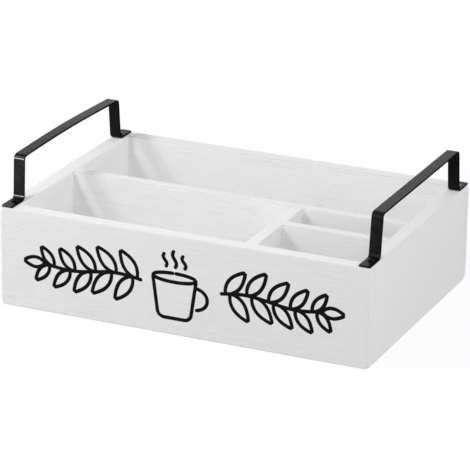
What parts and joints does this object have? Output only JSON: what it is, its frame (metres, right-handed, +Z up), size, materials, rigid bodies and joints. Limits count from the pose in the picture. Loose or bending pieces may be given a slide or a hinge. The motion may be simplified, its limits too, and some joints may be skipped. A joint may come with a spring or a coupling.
{
  "type": "counter-top organizer",
  "caption": "Low open wooden box with a painted finish, divided into compartments, with a bent steel strap handle over each end.",
  "frame": {"origin": "middle of the underside, on the plane that the box stands on", "axes": "+X to the right along the box's length, +Y to the back, +Z up; the long divided front is on -Y"},
  "size_m": [0.39, 0.27, 0.1465],
  "materials": {
    "white_paint": "satin white paint over softwood boards, with the grain showing through",
    "painted_panel": "satin white paint over thin plywood",
    "black_strap": "satin black powder coat over flat steel strap",
    "black_screws": "black oxide steel",
    "steel_brads": "bright drawn steel",
    "front_drawing": "flat black paint lines, laid thinly on the front board"
  },
  "bodies": {
    "root": {"front_board": "white_paint", "back_board": "white_paint", "left_end_board": "white_paint", "right_end_board": "white_paint", "bottom_panel": "painted_panel", "long_divider": "white_paint", "cross_divider": "white_paint", "small_divider": "white_paint", "left_handle": "black_strap", "right_handle": "black_strap", "left_front_screw": "black_screws", "left_rear_screw": "black_screws", "right_front_screw": "black_screws", "right_rear_screw": "black_screws", "front_left_corner_brads": "steel_brads", "front_right_corner_brads": "steel_brads", "back_left_corner_brads": "steel_brads", "back_right_corner_brads": "steel_brads", "long_divider_left_brads": "steel_brads", "long_divider_right_brads": "steel_brads", "cross_divider_front_brads": "steel_brads", "cross_divider_rear_brads": "steel_brads", "small_divider_left_brads": "steel_brads", "small_divider_right_brads": "steel_brads", "panel_rim_brads": "steel_brads", "panel_divider_brads": "steel_brads"}
  },
  "joints": []
}
